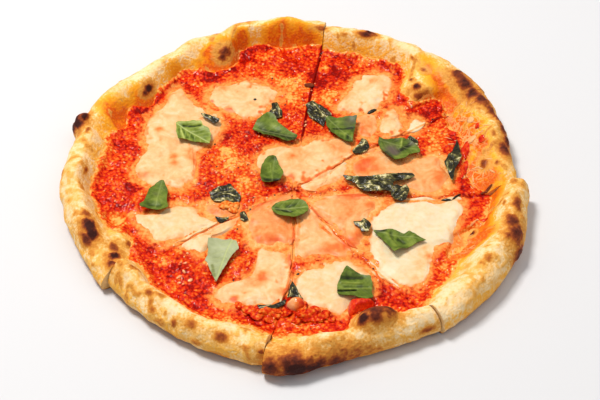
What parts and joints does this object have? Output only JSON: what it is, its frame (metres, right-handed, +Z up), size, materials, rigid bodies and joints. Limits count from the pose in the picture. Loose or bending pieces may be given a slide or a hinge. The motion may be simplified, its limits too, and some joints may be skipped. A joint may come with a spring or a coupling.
{
  "type": "margherita pizza",
  "caption": "Round baked pizza with a blistered raised crust, tomato sauce, melted mozzarella and torn basil, cut into wedges that still lie together. Food to serve and eat.",
  "frame": {"origin": "on the table, under the middle of the pizza", "axes": "+Z up, through the thickness; -Y towards the side the eater sees first; +X to the right"},
  "size_m": [0.3148, 0.3168, 0.0274],
  "materials": {
    "crust": "baked wheat dough, matt with a little flour, brown blisters and dark burnt spots",
    "tomato_sauce": "wet pulpy tomato sauce with orange oil",
    "mozzarella": "melted mozzarella, satin and slightly translucent",
    "mozzarella_oiled": "melted mozzarella stained orange by tomato oil",
    "tomato": "soft wet tomato",
    "basil_cooked": "shrivelled cooked basil, dark green with an oily glint",
    "basil_fresh": "fresh torn basil, satin with pale veins"
  },
  "bodies": {
    "root": {"slice_1": "crust", "slice_2": "crust", "slice_3": "crust", "slice_4": "crust", "slice_5": "crust", "slice_6": "crust", "sauce_1": "tomato_sauce", "sauce_2": "tomato_sauce", "sauce_3": "tomato_sauce", "sauce_4": "tomato_sauce", "sauce_5": "tomato_sauce", "sauce_6": "tomato_sauce", "cheese_back": "mozzarella", "cheese_back_right": "mozzarella", "cheese_browned": "mozzarella_oiled", "cheese_by_bubble": "mozzarella_oiled", "cheese_dot": "mozzarella", "cheese_front": "mozzarella", "cheese_front_left": "mozzarella", "cheese_front_oiled_left": "mozzarella_oiled", "cheese_front_oiled_middle": "mozzarella_oiled", "cheese_front_oiled_right": "mozzarella_oiled", "cheese_left": "mozzarella", "cheese_left_front": "mozzarella", "cheese_left_strip": "mozzarella", "cheese_middle": "mozzarella", "cheese_middle_strip": "mozzarella", "cheese_right": "mozzarella", "cheese_right_oiled": "mozzarella_oiled", "cheese_under_leaf": "mozzarella_oiled", "tomato_chunk": "tomato", "tomato_lump": "tomato", "cooked_basil_back": "basil_cooked", "cooked_basil_back_right": "basil_cooked", "cooked_basil_by_cut": "basil_cooked", "cooked_basil_centre": "basil_cooked", "cooked_basil_corner": "basil_cooked", "cooked_basil_far_left": "basil_cooked", "cooked_basil_front": "basil_cooked", "cooked_basil_front_tail": "basil_cooked", "cooked_basil_knot": "basil_cooked", "cooked_basil_left": "basil_cooked", "cooked_basil_left_tip": "basil_cooked", "cooked_basil_right": "basil_cooked", "cooked_basil_roll": "basil_cooked", "cooked_basil_speckled": "basil_cooked", "basil_back": "basil_fresh", "basil_back_right": "basil_fresh", "basil_far_left": "basil_fresh", "basil_folded_front": "basil_fresh", "basil_folded_right": "basil_fresh", "basil_left": "basil_fresh", "basil_middle": "basil_fresh", "basil_right": "basil_fresh", "basil_upturned": "basil_fresh", "basil_whole": "basil_fresh"}
  },
  "joints": []
}
